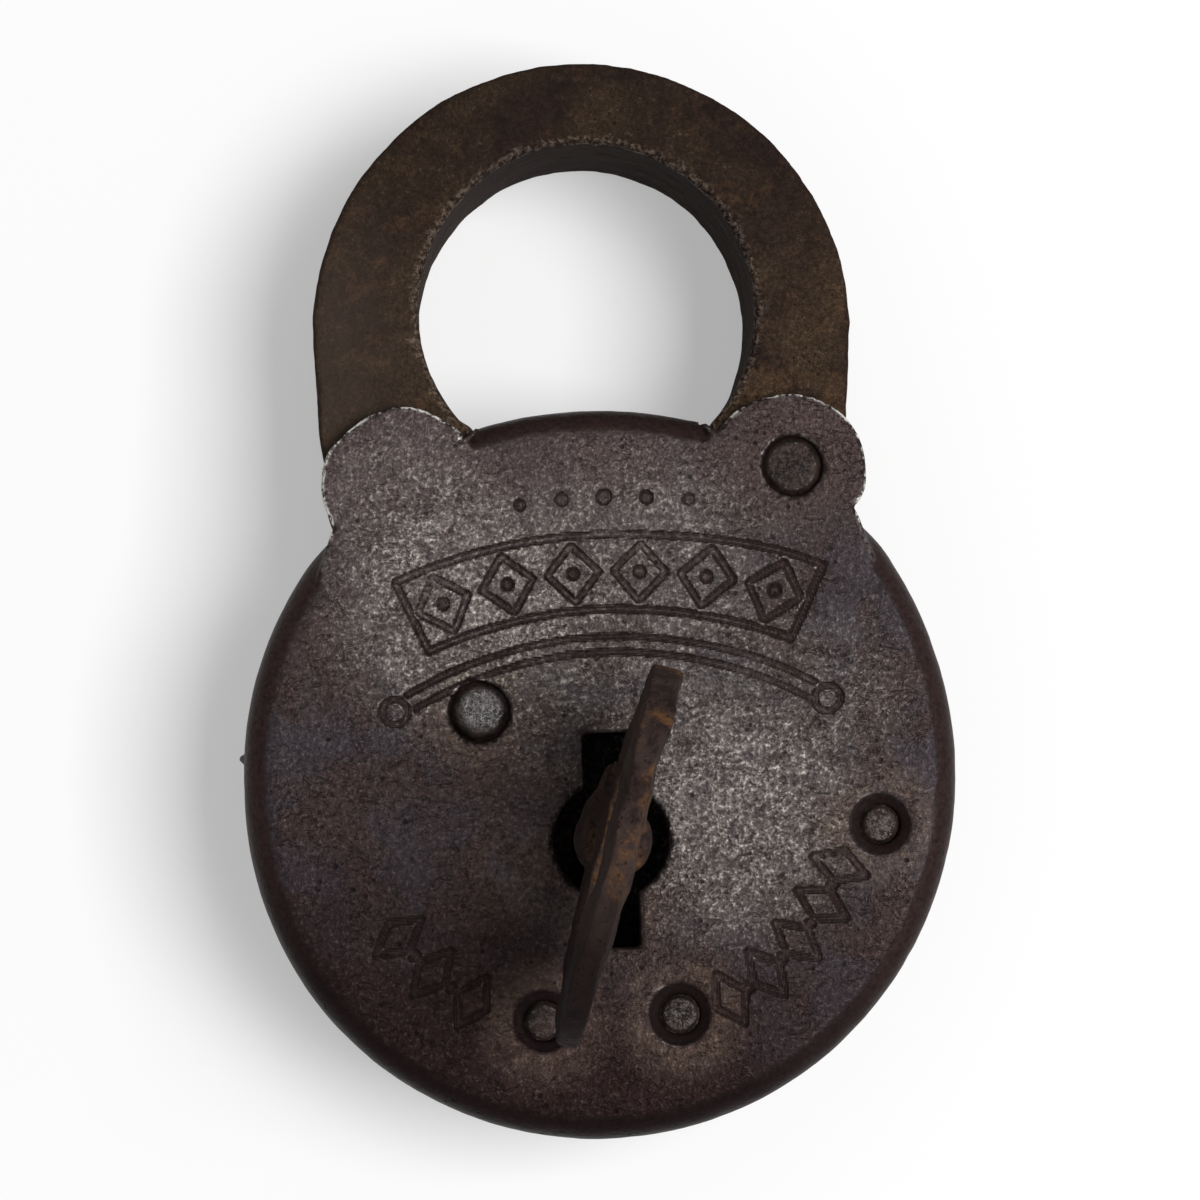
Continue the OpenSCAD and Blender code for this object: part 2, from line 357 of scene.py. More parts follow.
@dataclass(frozen=True)
class PatinaSteel:
    """Blackened sheet steel, pebbled by old rust and rubbed to pewter grey where hands reach, with
    painted sheen, glints, highlights and shade in its colour.
    """

    name: str = "patina_steel"
    black: Colour = (0.006, 0.004, 0.004)
    # darkest brown, used as painted shade towards the lower left
    dark_and_shade: Colour = (0.0150, 0.0074, 0.0074)
    slate: Colour = (0.033, 0.0270, 0.0305)
    umber: Colour = (0.034, 0.0230, 0.0215)
    plum: Colour = (0.058, 0.041, 0.041)
    # the two rim colours are painted shade for the edge that turns away from the light
    rim: Colour = (0.0240, 0.0140, 0.0130)
    rim_shade_low: Colour = (0.0105, 0.0058, 0.0058)
    # painted shade for the struck grooves
    groove_shade: Colour = (0.022, 0.013, 0.012)
    halo: Colour = (0.088, 0.061, 0.046)
    # pewter: rubbed metal, and painted sheen
    pewter: Colour = (0.155, 0.136, 0.126)
    # grey: the flecks, partly bare metal and partly painted glints
    grey: Colour = (0.46, 0.42, 0.39)
    silver: Colour = (0.85, 0.81, 0.76)
    # the rubbed patches are partly bare metal and partly a painted sheen across the face
    rubbed: tuple[Patch, ...] = (
        Patch(10.0, -3.0, 3.0, 13.0, 0.85),
        Patch(-11.0, 14.0, 3.0, 13.0, 0.85),
        Patch(4.0, 15.5, 4.0, 15.0, 0.45),
        Patch(-15.5, 24.0, 2.0, 10.0, 0.30),
        Patch(-3.0, 5.0, 1.0, 8.0, 0.25),
        Patch(18.0, 6.0, 1.0, 10.0, 0.30),
    )
    brown_ear: tuple[float, float, float, float] = (16.3, 24.8, 4.0, 10.0)
    depth_mm: float = 0.30
    specular: float = 0.03

    def seat_marks(self, g: Graph) -> tuple[Wire, Wire]:
        """Gives the marks that the rivets' seats leave on the case.

        Args:
            g: the material's tree.

        Returns:
            The painted shade in the seats, and the painted highlight on one side of their worn
            lips.
        """
        dish_shade, light = [], []
        for seat in SEATS:
            x, y = (c / MM for c in centre_of(seat.node))
            r = seat.dish_shade_r
            # painted shade in each rivet's dish
            dish_shade.append(seat.dish_shade * g.near(x, y, r - 0.03, r + 0.05))
            # painted highlight on the left side of each seat's worn lip
            lip = g.near(x - 0.12, y + 0.05, r + 0.12, r + 0.20)
            light.append((lip - g.near(x + 0.04, y, r + 0.02, r + 0.08)) * seat.shine)
        return reduce(Wire.most, dish_shade), reduce(Wire.most, light).most(0.0)

    def rubbed_and_sheen_share(self, g: Graph) -> Wire:
        """Gives how far the face is rubbed bare and brightened by painted sheen, before its
        blotches.
        """
        shares = [p.share * g.near(p.x, p.y, p.inner, p.outer) for p in self.rubbed]
        return sum(shares[1:], shares[0]).least(1.0)

    def make(self) -> Material:
        """Returns the material."""
        g = Graph(bpy.data.materials.new(self.name))
        clouds = g.noise(0.11, 3, 0.55, 0.6)
        drift = g.noise(0.17, 2, 0.5, 0.5, 83)
        blotch = g.noise(0.55, 4, 0.62, 0.3, 11)
        grain = g.noise(2.3, 3, 0.60, 0.15, 23)
        fine = g.noise(4.4, 3, 0.62, 0, 5)
        vein = g.noise(0.75, 4, 0.6, 0.8, 91, 1.5)
        bare = g.noise(0.8, 3, 0.6, 0, 41)
        pits = g.cells(1.3, 3).rise(0.30, 0.10) * g.noise(0.4, 2, 0.5, 0, 31).rise(0.54, 0.66)
        wear, groove, up, halo = (g.stored(name) for name in ("wear", "groove", "face", "halo"))
        seat_shade, lip_highlight = self.seat_marks(g)
        # the painted shade in the rivet dishes joins the grime and painted shade in corners
        grime_and_shade = g.stored("grime_and_shade").most(seat_shade)
        x, y, _ = g.axes()
        sway = (clouds - 0.5) * 16
        high, low = y - x * 0.25 + sway, y + x * 0.25 + sway

        # The skin: slate and brown, darkened by painted shade towards the lower left, plum above,
        # and pewter where it is rubbed
        skin = g.blend(drift.rise(0.40, 0.62), self.slate, self.umber)
        # painted shade: the face darkens towards the lower left, where the light falls off
        skin = g.blend(low.rise(-4.0, -24.0) * 0.92, skin, self.dark_and_shade)
        skin = g.blend(high.rise(6.0, 30.0) * 0.8, skin, self.plum)
        skin = g.blend(g.near(*self.brown_ear) * 0.5, skin, self.umber)
        # pewter patches: rubbed metal, and a painted sheen
        patch = self.rubbed_and_sheen_share(g) * (0.30 + blotch.rise(0.36, 0.60) * 0.70)
        skin = g.blend(patch, skin, self.pewter)
        skin = g.blend(halo * (0.4 + blotch.rise(0.34, 0.56) * 0.6) * 0.5, skin, self.halo)
        # painted shade: the rim, which turns away from the light, is painted dark brown, darkest
        # towards the bottom
        skin = g.blend(1 - up, skin, g.blend(low.rise(-8.0, -26.0), self.rim, self.rim_shade_low))

        # Its pebbles, with painted relief shading, darker in their hollows and lighter on their
        # tops, and light flecks where it is rubbed, partly bare metal and partly painted glints
        peak = grain * 0.62 + fine * 0.38
        swing = 0.54 - low.rise(-2.0, -20.0) * 0.14 + patch * 0.80
        colour = g.blend(1.0, skin, 1 - swing * 0.5 + peak.rise(0.38, 0.62) * swing, "MULTIPLY")
        fleck = peak.rise(0.525, 0.64) * (1 - grime_and_shade) * (1 - groove * 0.9) * up
        colour = g.blend(fleck * (0.025 + patch * 0.66), colour, self.grey)
        # painted shade in the struck grooves
        colour = g.blend(groove * 0.85, colour, self.groove_shade)

        # Bare edges and the ears' lips, worn bright, and a painted highlight on one side of each
        # rivet seat's lip
        corner = wear.rise(0.05, 0.17) * bare.rise(0.42, 0.54) * (0.08 + up * 0.22)
        # the bare edges dim towards the lower left, along with the painted shade there
        corner = corner * (1 - low.rise(2.0, -14.0) * 0.7)
        lip = g.stored("lip").rise(0.45, 0.75) * bare.rise(0.40, 0.54)
        edge = corner.most(lip).most(lip_highlight * blotch.rise(0.46, 0.60) * up * 0.7)
        colour = g.blend(edge * grain.rise(0.36, 0.50), colour, self.silver)

        # painted shade in the fine creases between the pebbles
        crease = (vein - 0.5).size().rise(0.014, 0.003) * drift.rise(0.36, 0.52) * up
        dark = (pits * 0.6).most(crease * 0.4).most(grime_and_shade * 0.85)
        colour = g.blend(dark, colour, self.black)
        metallic = (0.45 + fleck * 0.2) * (1 - edge * 0.6) * (1 - dark * 0.9)
        rough = 0.42 - fleck * 0.08 + dark * 0.3 + (1 - up) * 0.04
        relief = grain * 0.62 + fine * 0.34 + blotch * 0.4 - pits * 0.5 - crease * 0.22
        relief = relief * (0.3 + up * (0.4 + patch * 0.4))
        return g.finish(colour, metallic, rough, relief, self.depth_mm, self.specular)


@dataclass(frozen=True)
class ShackleIron:
    """Forged iron with a smooth brown skin and thin rust, and painted shade on its sides."""

    name: str = "shackle_iron"
    black: Colour = (0.010, 0.006, 0.0045)
    brown: Colour = (0.030, 0.0175, 0.0130)
    olive: Colour = (0.048, 0.0310, 0.0180)
    rust: Colour = (0.080, 0.043, 0.023)
    # darkest brown: pits, grime, and painted shade on the sides
    dark_and_shade: Colour = (0.015, 0.0068, 0.0060)
    dust: Colour = (0.056, 0.041, 0.032)
    grey: Colour = (0.20, 0.16, 0.13)
    depth_mm: float = 0.28
    specular: float = 0.05

    def make(self) -> Material:
        """Returns the material."""
        g = Graph(bpy.data.materials.new(self.name))
        clouds = g.noise(0.12, 4, 0.6, 0.8, 7)
        blotch = g.noise(0.9, 5, 0.68, 0.4, 13)
        grain = g.noise(2.8, 4, 0.68, 0.3, 29)
        fine = g.noise(6.5, 3, 0.6, 0, 37)
        pits = g.cells(1.6, 9).rise(0.24, 0.06) * clouds.rise(0.50, 0.62)
        wear, grime_and_shade, up = g.stored("wear"), g.stored("grime_and_shade"), g.stored("face")
        skin = g.blend(0.3 + blotch.rise(0.34, 0.60) * 0.7, self.black, self.brown)
        skin = g.blend(clouds.rise(0.36, 0.60) * 0.75, skin, self.olive)
        stain = g.noise(0.25, 4, 0.7, 0.5, 51).rise(0.50, 0.62) * blotch.rise(0.38, 0.56)
        skin = g.blend(stain * 0.45, skin, self.rust)
        peak = grain * 0.6 + fine * 0.4
        skin = g.blend(1.0, skin, 0.55 + peak.rise(0.36, 0.62) * 0.9, "MULTIPLY")
        x, y, _ = g.axes()
        crown = (y + clouds * 12 - 6).rise(36.0, 52.0)
        skin = g.blend(crown * 0.45, skin, self.black)
        left = (x + blotch * 10).rise(-6.0, -16.0) * (1 - crown)
        skin = g.blend(left * 0.55, skin, self.dust)
        fleck = peak.rise(0.56, 0.68) * clouds.rise(0.36, 0.6)
        edge = wear.rise(0.012, 0.060) * grain.rise(0.44, 0.60)
        colour = g.blend(fleck * 0.35 + edge * 0.3, skin, self.grey)
        # painted shade: the sides that do not face up are darker; pits are dark, and corners take
        # grime and painted shade
        dark = (pits * 0.7).most(grime_and_shade * 0.6).most((1 - up) * 0.55 - edge)
        colour = g.blend(dark, colour, self.dark_and_shade)
        metallic = (fleck * 0.4 + edge * 0.5 + 0.1) * (1 - dark * 0.9)
        rough = 0.50 + blotch * 0.14 - edge * 0.12 + dark * 0.3
        relief = grain * 0.5 + fine * 0.35 + blotch * 0.4 - pits * 0.5
        return g.finish(colour, metallic, rough, relief, self.depth_mm, self.specular)


@dataclass(frozen=True)
class KeyRust:
    """Iron under orange-brown rust, darker in its corners, with painted light: rustier on the sides
    that face the light, a lightened collar, and darker sides away from it and deep in the keyhole.
    """

    name: str = "key_rust"
    black: Colour = (0.007, 0.004, 0.004)
    brown: Colour = (0.028, 0.0165, 0.0140)
    rust: Colour = (0.112, 0.052, 0.021)
    dust: Colour = (0.050, 0.034, 0.030)
    grey: Colour = (0.24, 0.20, 0.18)
    # pale: painted light on the collar, which lies in shade
    pale: Colour = (0.080, 0.058, 0.052)
    collar_z: tuple[float, float] = (21.8, 20.8)
    depth_mm: float = 0.22
    specular: float = 0.06

    def make(self) -> Material:
        """Returns the material."""
        g = Graph(bpy.data.materials.new(self.name))
        clouds = g.noise(0.2, 4, 0.6, 0.6, 3)
        blotch = g.noise(0.9, 5, 0.66, 0.3, 17)
        grain = g.noise(3.4, 4, 0.66, 0, 19)
        fine = g.noise(8.0, 3, 0.6, 0, 43)
        pits = g.cells(1.9, 5).rise(0.36, 0.12) * blotch.rise(0.44, 0.58)
        wear, grime_and_shade, lit = g.stored("wear"), g.stored("grime_and_shade"), g.stored("lit")
        skin = g.blend(blotch.rise(0.36, 0.60), self.black, self.brown)
        skin = g.blend(clouds.rise(0.36, 0.60) * 0.6, skin, self.dust)
        # painted light: the rust spreads most on the lit sides
        spread = g.noise(0.22, 4, 0.66, 0.6, 57).rise(0.46, 0.62)
        spread = spread * (0.15 + lit.rise(0.5, 0.9) * 0.85)
        spread = spread * blotch.rise(0.34, 0.60) * (0.45 + grain.rise(0.4, 0.6) * 0.55)
        skin = g.blend(spread, skin, self.rust)
        # painted light: the collar, which lies in shade, is lightened
        skin = g.blend(g.axes()[2].rise(*self.collar_z) * 0.55, skin, self.pale)
        edge = wear.rise(0.10, 0.36) * grain.rise(0.42, 0.60)
        colour = g.blend(edge * 0.5, skin, self.grey)
        # painted shade on the sides away from the light and deep in the keyhole, with grime and
        # painted shade in corners
        dark = (pits * 0.35).most(grime_and_shade * 0.85).most((1 - lit) * 0.6)
        colour = g.blend(dark, colour, self.black)
        metallic = edge * 0.5 + 0.15
        rough = 0.50 + blotch * 0.14 - edge * 0.15 + dark * 0.2
        relief = grain * 0.45 + fine * 0.25 + blotch * 0.7 - pits * 0.6
        return g.finish(colour, metallic, rough, relief, self.depth_mm, self.specular)


@dataclass(frozen=True)
class RivetSteel:
    """A hammered rivet head: rubbed grey on top, brown around; a polished head keeps its grey as a
    painted highlight towards the upper right.
    """

    name: str = "rivet_steel"
    black: Colour = (0.009, 0.006, 0.005)
    brown: Colour = (0.030, 0.019, 0.016)
    grey: Colour = (0.085, 0.074, 0.070)
    silver: Colour = (0.36, 0.34, 0.32)
    rubbed: float = 0.8
    polish: float = 0.0
    lit_at: Flat = (0.0, 0.0)
    depth_mm: float = 0.2
    specular: float = 0.08

    def make(self) -> Material:
        """Returns the material."""
        g = Graph(bpy.data.materials.new(self.name))
        blotch = g.noise(0.8, 4, 0.62, 0.3, 61)
        grain = g.noise(3.0, 4, 0.66, 0, 67)
        fine = g.noise(7.0, 3, 0.6, 0, 71)
        wear, grime_and_shade, up = g.stored("wear"), g.stored("grime_and_shade"), g.stored("face")
        skin = g.blend(blotch.rise(0.36, 0.62), self.black, self.brown)
        swirl = g.noise(1.5, 2, 0.5, 2.6, 47)
        peak = grain * 0.6 + fine * 0.4 + up * 0.05
        rub_and_highlight = peak.rise(0.50 - 0.10 * self.polish, 0.62) * (0.2 + up * 0.8)
        # painted highlight: on a polished head the grey stays towards the upper right and fades to
        # the lower left
        shade = g.near(*self.lit_at, 1.4, 2.6) * (0.35 + swirl.rise(0.34, 0.54) * 0.65)
        rub_and_highlight = rub_and_highlight * (1 - self.polish * (1 - shade))
        colour = g.blend(rub_and_highlight * self.rubbed, skin, self.grey)
        edge = wear.rise(0.06, 0.22) * grain.rise(0.45, 0.62) * up
        colour = g.blend(edge * 0.6, colour, self.silver)
        colour = g.blend(grime_and_shade * 0.8, colour, self.black)
        metallic = rub_and_highlight * 0.6 + (0.15 + 0.2 * self.polish)
        rough = (0.50 - 0.2 * self.polish) + blotch * 0.1 - rub_and_highlight * 0.08 + grime_and_shade * 0.2
        relief = grain * 0.5 + fine * 0.25 + blotch * 0.5 + swirl * (0.7 * self.polish)
        return g.finish(colour, metallic, rough, relief, self.depth_mm, self.specular)


@dataclass(frozen=True)
class TarnishedBrass:
    """Lever brass, brown with age and stained green in places."""

    name: str = "tarnished_brass"
    bright: Colour = (0.42, 0.27, 0.09)
    brown: Colour = (0.13, 0.075, 0.030)
    green: Colour = (0.075, 0.085, 0.050)
    depth_mm: float = 0.03
    specular: float = 0.5

    def make(self) -> Material:
        """Returns the material."""
        g = Graph(bpy.data.materials.new(self.name))
        clouds = g.noise(0.25, 4, 0.6, 0.4, 2)
        grain = g.noise(2.4, 4, 0.62, 0, 8)
        fine = g.noise(9.0, 2, 0.5, 0, 12)
        colour = g.blend(clouds.rise(0.34, 0.62), self.bright, self.brown)
        stain = g.noise(0.5, 4, 0.7, 0.2, 15).rise(0.54, 0.66)
        colour = g.blend(stain * 0.8, colour, self.green)
        colour = g.blend(grain.rise(0.52, 0.66) * 0.5, colour, self.brown)
        rough = 0.36 + clouds * 0.25 + stain * 0.25
        relief = grain * 0.6 + fine * 0.2
        return g.finish(colour, 0.9 - stain * 0.7, rough, relief, self.depth_mm, self.specular)


@dataclass(frozen=True)
class DullSteel:
    """Steel that was never blacked: oily, spotted with rust."""

    name: str
    steel: Colour
    brown: Colour = (0.07, 0.040, 0.024)
    spots: float = 0.52
    depth_mm: float = 0.04
    specular: float = 0.5

    def make(self) -> Material:
        """Returns the material."""
        g = Graph(bpy.data.materials.new(self.name))
        clouds = g.noise(0.3, 4, 0.6, 0.4, 21)
        grain = g.noise(2.8, 4, 0.64, 0, 27)
        rust = (clouds * 0.5 + grain * 0.5).rise(self.spots - 0.04, self.spots + 0.08)
        oily = tuple(0.5 * c for c in self.steel)
        colour = g.blend(clouds.rise(0.3, 0.7) * 0.5, self.steel, oily)
        colour = g.blend(rust, colour, self.brown)
        rough = 0.34 + clouds * 0.16 + rust * 0.3
        return g.finish(colour, 0.92 - rust * 0.8, rough, grain, self.depth_mm, self.specular)


# ---- Work on meshes ----


class Bench:
    """Holds one piece at a time and works on it."""

    @staticmethod
    def clear() -> None:
        """Lets go of every object."""
        if bpy.context.object and bpy.context.object.mode != "OBJECT":
            bpy.ops.object.mode_set(mode="OBJECT")
        bpy.ops.object.select_all(action="DESELECT")

    @staticmethod
    def hold(piece: Piece) -> None:
        """Makes a piece the only one that is selected, and active."""
        Bench.clear()
        piece.select_set(True)
        bpy.context.view_layer.objects.active = piece

    @staticmethod
    def copy_of(node: str, name: str) -> Piece:
        """Gives a new piece with the merged mesh of a CAD node.

        Args:
            node: the CAD node.
            name: the new piece's name.

        Returns:
            The piece, held.
        """
        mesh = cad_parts[node].data.copy()
        mesh.materials.clear()
        piece = bpy.data.objects.new(name, mesh)
        bpy.context.scene.collection.objects.link(piece)
        Bench.hold(piece)
        bpy.ops.object.mode_set(mode="EDIT")
        bpy.ops.mesh.select_all(action="SELECT")
        bpy.ops.mesh.remove_doubles(threshold=0.0005 * MM)
        bpy.ops.object.mode_set(mode="OBJECT")
        return piece

    @staticmethod
    def modify(piece: Piece, kind: str, **settings: Any) -> None:
        """Adds a modifier to a piece and applies it.

        Args:
            piece: the piece.
            kind: the modifier's type.
            settings: its attributes.
        """
        Bench.hold(piece)
        modifier = piece.modifiers.new(kind.lower(), kind)
        for key, value in settings.items():
            setattr(modifier, key, value)
        bpy.ops.object.modifier_apply(modifier=modifier.name)

    @staticmethod
    def rows(items: bpy.types.bpy_prop_collection, name: str) -> np.ndarray:
        """Returns a vector attribute of all points or faces as rows."""
        flat = np.empty(len(items) * 3)
        items.foreach_get(name, flat)
        return flat.reshape(-1, 3)

    @staticmethod
    def points(piece: Piece) -> np.ndarray:
        """Returns the piece's points as rows, in metres."""
        return Bench.rows(piece.data.vertices, "co")

    @staticmethod
    def normals(piece: Piece) -> np.ndarray:
        """Returns the normals at the piece's points as rows."""
        return Bench.rows(piece.data.vertices, "normal")

    @staticmethod
    def move(piece: Piece, points: np.ndarray) -> None:
        """Puts the piece's points where the rows say."""
        piece.data.vertices.foreach_set("co", points.ravel())
        piece.data.update()

    @staticmethod
    def store(piece: Piece, name: str, values: np.ndarray) -> None:
        """Stores a number for each point, for the piece's material to read."""
        attributes = piece.data.attributes
        attribute = attributes.get(name) or attributes.new(name, "FLOAT", "POINT")
        attribute.data.foreach_set("value", np.clip(values, 0, 1).astype(np.float32))

    @staticmethod
    def bulge(piece: Piece) -> np.ndarray:
        """Measures how far each point stands out of its neighbours.

        Args:
            piece: the piece.

        Returns:
            For each point the height over its neighbours' middle by the edge length: over 0 on
            an outer edge, under 0 in a corner.
        """
        count = len(piece.data.vertices)
        flat = np.empty(len(piece.data.edges) * 2, np.int32)
        piece.data.edges.foreach_get("vertices", flat)
        a, b = flat[::2], flat[1::2]
        points, normals = Bench.points(piece), Bench.normals(piece)
        ends = np.maximum(np.bincount(a, minlength=count) + np.bincount(b, minlength=count), 1)

        def mean(values: np.ndarray) -> np.ndarray:
            """Returns the mean over each point's neighbours."""
            return (np.bincount(a, values[b], count) + np.bincount(b, values[a], count)) / ends

        middle = np.column_stack([mean(points[:, k]) for k in range(3)])
        lengths = np.linalg.norm(points[a] - points[b], axis=1)
        size = (np.bincount(a, lengths, count) + np.bincount(b, lengths, count)) / ends
        result = -np.einsum("ij,ij->i", middle - points, normals) / np.maximum(size, 1e-9)
        return 0.5 * result + 0.5 * mean(result)


def step(values: np.ndarray, low: float, high: float) -> np.ndarray:
    """Gives a smooth step from 0 at low to 1 at high; low may be above high."""
    t = np.clip((values - low) / (high - low), 0, 1)
    return t * t * (3 - 2 * t)


def grime_and_shade_in(bulge: np.ndarray) -> np.ndarray:
    """Gives how much grime and painted shade darken points, which is most in corners."""
    return step(-bulge, 0.05, 0.22)


def radii(rows: np.ndarray) -> np.ndarray:
    """Gives how far rows in metres are from the origin seen from above, in millimetres."""
    return np.hypot(rows[:, 0], rows[:, 1]) / MM


def bearings(rows: np.ndarray) -> np.ndarray:
    """Gives the direction of rows seen from above, in degrees from 0 to 360."""
    return np.degrees(np.arctan2(rows[:, 1], rows[:, 0])) % 360


def clouds_at(points: np.ndarray, per_mm: float, layers: int, seed: float) -> np.ndarray:
    """Gives cloudy noise from about -1 to 1 at each point.

    Args:
        points: rows in metres.
        per_mm: lumps for each millimetre.
        layers: how many finer layers are added.
        seed: moves the noise.

    Returns:
        One number for each point.
    """
    shift = Vector((seed, -2 * seed, 0.5 * seed))
    scaled = points * (per_mm / MM)
    return np.array([noise.fractal(Vector(p) + shift, 0.9, 2.1, layers) for p in scaled])


def dents_at(points: np.ndarray, per_mm: float, reach: float, seed: float) -> np.ndarray:
    """Gives round dents around scattered points, from 0 outside to 1 in the middle.

    Args:
        points: rows in metres.
        per_mm: dents for each millimetre.
        reach: radius of a dent in spacings.
        seed: moves the dents.

    Returns:
        One number for each point.
    """
    shift = Vector((seed, seed, -seed))
    scaled = points * (per_mm / MM)
    near = np.array([noise.voronoi(Vector(p) + shift)[0][0] for p in scaled])
    return step(near, reach, 0.0)


def polar(r: float, degrees: float) -> Flat:
    """Gives the point at radius r and an angle."""
    a = math.radians(degrees)
    return (r * math.cos(a), r * math.sin(a))


# ---- The struck pattern ----


@dataclass(frozen=True)
class Stroke:
    """A line struck into the face: its centreline in millimetres, half width and depth."""

    line: tuple[Flat, ...]
    half: float
    depth: float


@dataclass
class StruckPattern:
    """Plain ornament of the case: an arched band of lozenges, an arch line and rows of marks.

    Lengths are in millimetres, and angles in degrees.
    """

    arch_at: Flat = (1.0, -21.5)
    arch_spread: float = 24.0
    band: Flat = (35.2, 41.2)
    lozenges: int = 6
    line_r: float = 33.0
    line_gap: float = 1.25
    line_spread: float = 29.5
    ring_r: float = 1.0
    dots_r: float = 44.2
    dots_apart: float = 4.4
    low_r: float = 20.3
    low_rows: tuple[tuple[float, ...], ...] = (
        (-61.0, -51.0, -41.0, -31.0, -21.5),
        (216.0, 227.0, 238.0),
    )
    half: float = 0.26
    depth: float = 0.28

    def on_arch(self, r: float, degrees: float) -> Flat:
        """Gives the point at a radius and an angle of the arch."""
        x, y = polar(r, degrees)
        return (x + self.arch_at[0], y + self.arch_at[1])

    def arc(self, at: Flat, r: float, low: float, high: float) -> tuple[Flat, ...]:
        """Gives the points of an arc.

        Args:
            at: its centre.
            r: its radius.
            low: the angle of its start.
            high: the angle of its end.

        Returns:
            The points.
        """
        steps = max(4, int(abs(high - low) / 2.5))
        turns = np.radians(np.linspace(low, high, steps + 1))
        return tuple((at[0] + r * math.cos(a), at[1] + r * math.sin(a)) for a in turns)

    def lozenge(self, at: Flat, wide: float, tall: float, turn: float) -> tuple[Flat, ...]:
        """Gives the corners of a closed lozenge.

        Args:
            at: its middle.
            wide: its size across the direction of turn.
            tall: its size along it.
            turn: the direction.

        Returns:
            The corners, with the first one again at the end.
        """
        up, side = polar(tall / 2, turn), polar(wide / 2, turn - 90)
        corners = [up, side, (-up[0], -up[1]), (-side[0], -side[1]), up]
        return tuple((at[0] + dx, at[1] + dy) for dx, dy in corners)

    def strokes(self) -> list[Stroke]:
        """Returns every struck line."""
        found: list[Stroke] = []

        def strike(line: tuple[Flat, ...], share: float = 1.0) -> None:
            """Adds a line with a share of the full width."""
            found.append(Stroke(line, self.half * share, self.depth))

        def dot(at: Flat, half: float) -> None:
            """Adds a round dot."""
            found.append(Stroke((at, at), half, self.depth))

        low, high = 90 - self.arch_spread, 90 + self.arch_spread
        for r in self.band:
            strike(self.arc(self.arch_at, r, low, high))
        for a in (low, high):
            strike(tuple(self.on_arch(r, a) for r in self.band))
        for k in range(self.lozenges):
            a = low + (k + 0.5) * (high - low) / self.lozenges
            at = self.on_arch(sum(self.band) / 2, a)
            strike(self.lozenge(at, 4.2, 4.6, a), 0.9)
            dot(at, 0.5)
        low, high = 90 - self.line_spread, 90 + self.line_spread
        for r in (self.line_r, self.line_r - self.line_gap):
            strike(self.arc(self.arch_at, r, low, high), 0.8)
        for a in (low - 2.6, high + 2.6):
            strike(self.arc(self.on_arch(self.line_r - 0.6, a), self.ring_r, 0, 360), 0.9)
        for k in range(-2, 3):
            dot(self.on_arch(self.dots_r, 90 + self.dots_apart * k), 0.62 - 0.08 * abs(k))
        for row in self.low_rows:
            for a in row:
                strike(self.lozenge(polar(self.low_r, a), 2.7, 4.6, a), 0.9)
            for a, b in zip(row[:-1], row[1:]):
                dot(polar(self.low_r, (a + b) / 2), 0.48)
        return found

    def depth_at(self, flat: np.ndarray) -> tuple[np.ndarray, np.ndarray]:
        """Measures the pattern at points of the face.

        Args:
            flat: rows of x and y, in millimetres.

        Returns:
            The depth in millimetres, and how far from every stroke's edge each point is.
        """
        depth = np.zeros(len(flat))
        clear = np.full(len(flat), 99.0)
        for stroke in self.strokes():
            line = np.array(stroke.line)
            low, high = line.min(0) - 1.6, line.max(0) + 1.6
            inside = np.all((flat > low) & (flat < high), axis=1)
            if not inside.any():
                continue
            near = np.full(inside.sum(), 99.0)
            spots = flat[inside]
            for a, b in zip(line[:-1], line[1:]):
                run = b - a
                t = np.clip((spots - a) @ run / max(run @ run, 1e-9), 0, 1)
                near = np.minimum(near, np.linalg.norm(spots - a - t[:, None] * run, axis=1))
            profile = step(near, stroke.half + 0.12, stroke.half - 0.16)
            floor = 1 - 0.28 * step(near, 0.16, 0.02) if stroke.half < 0.45 else 1.0
            depth[inside] = np.maximum(depth[inside], stroke.depth * profile * floor)
            clear[inside] = np.minimum(clear[inside], near - stroke.half)
        return depth, clear


# ---- Pieces ----


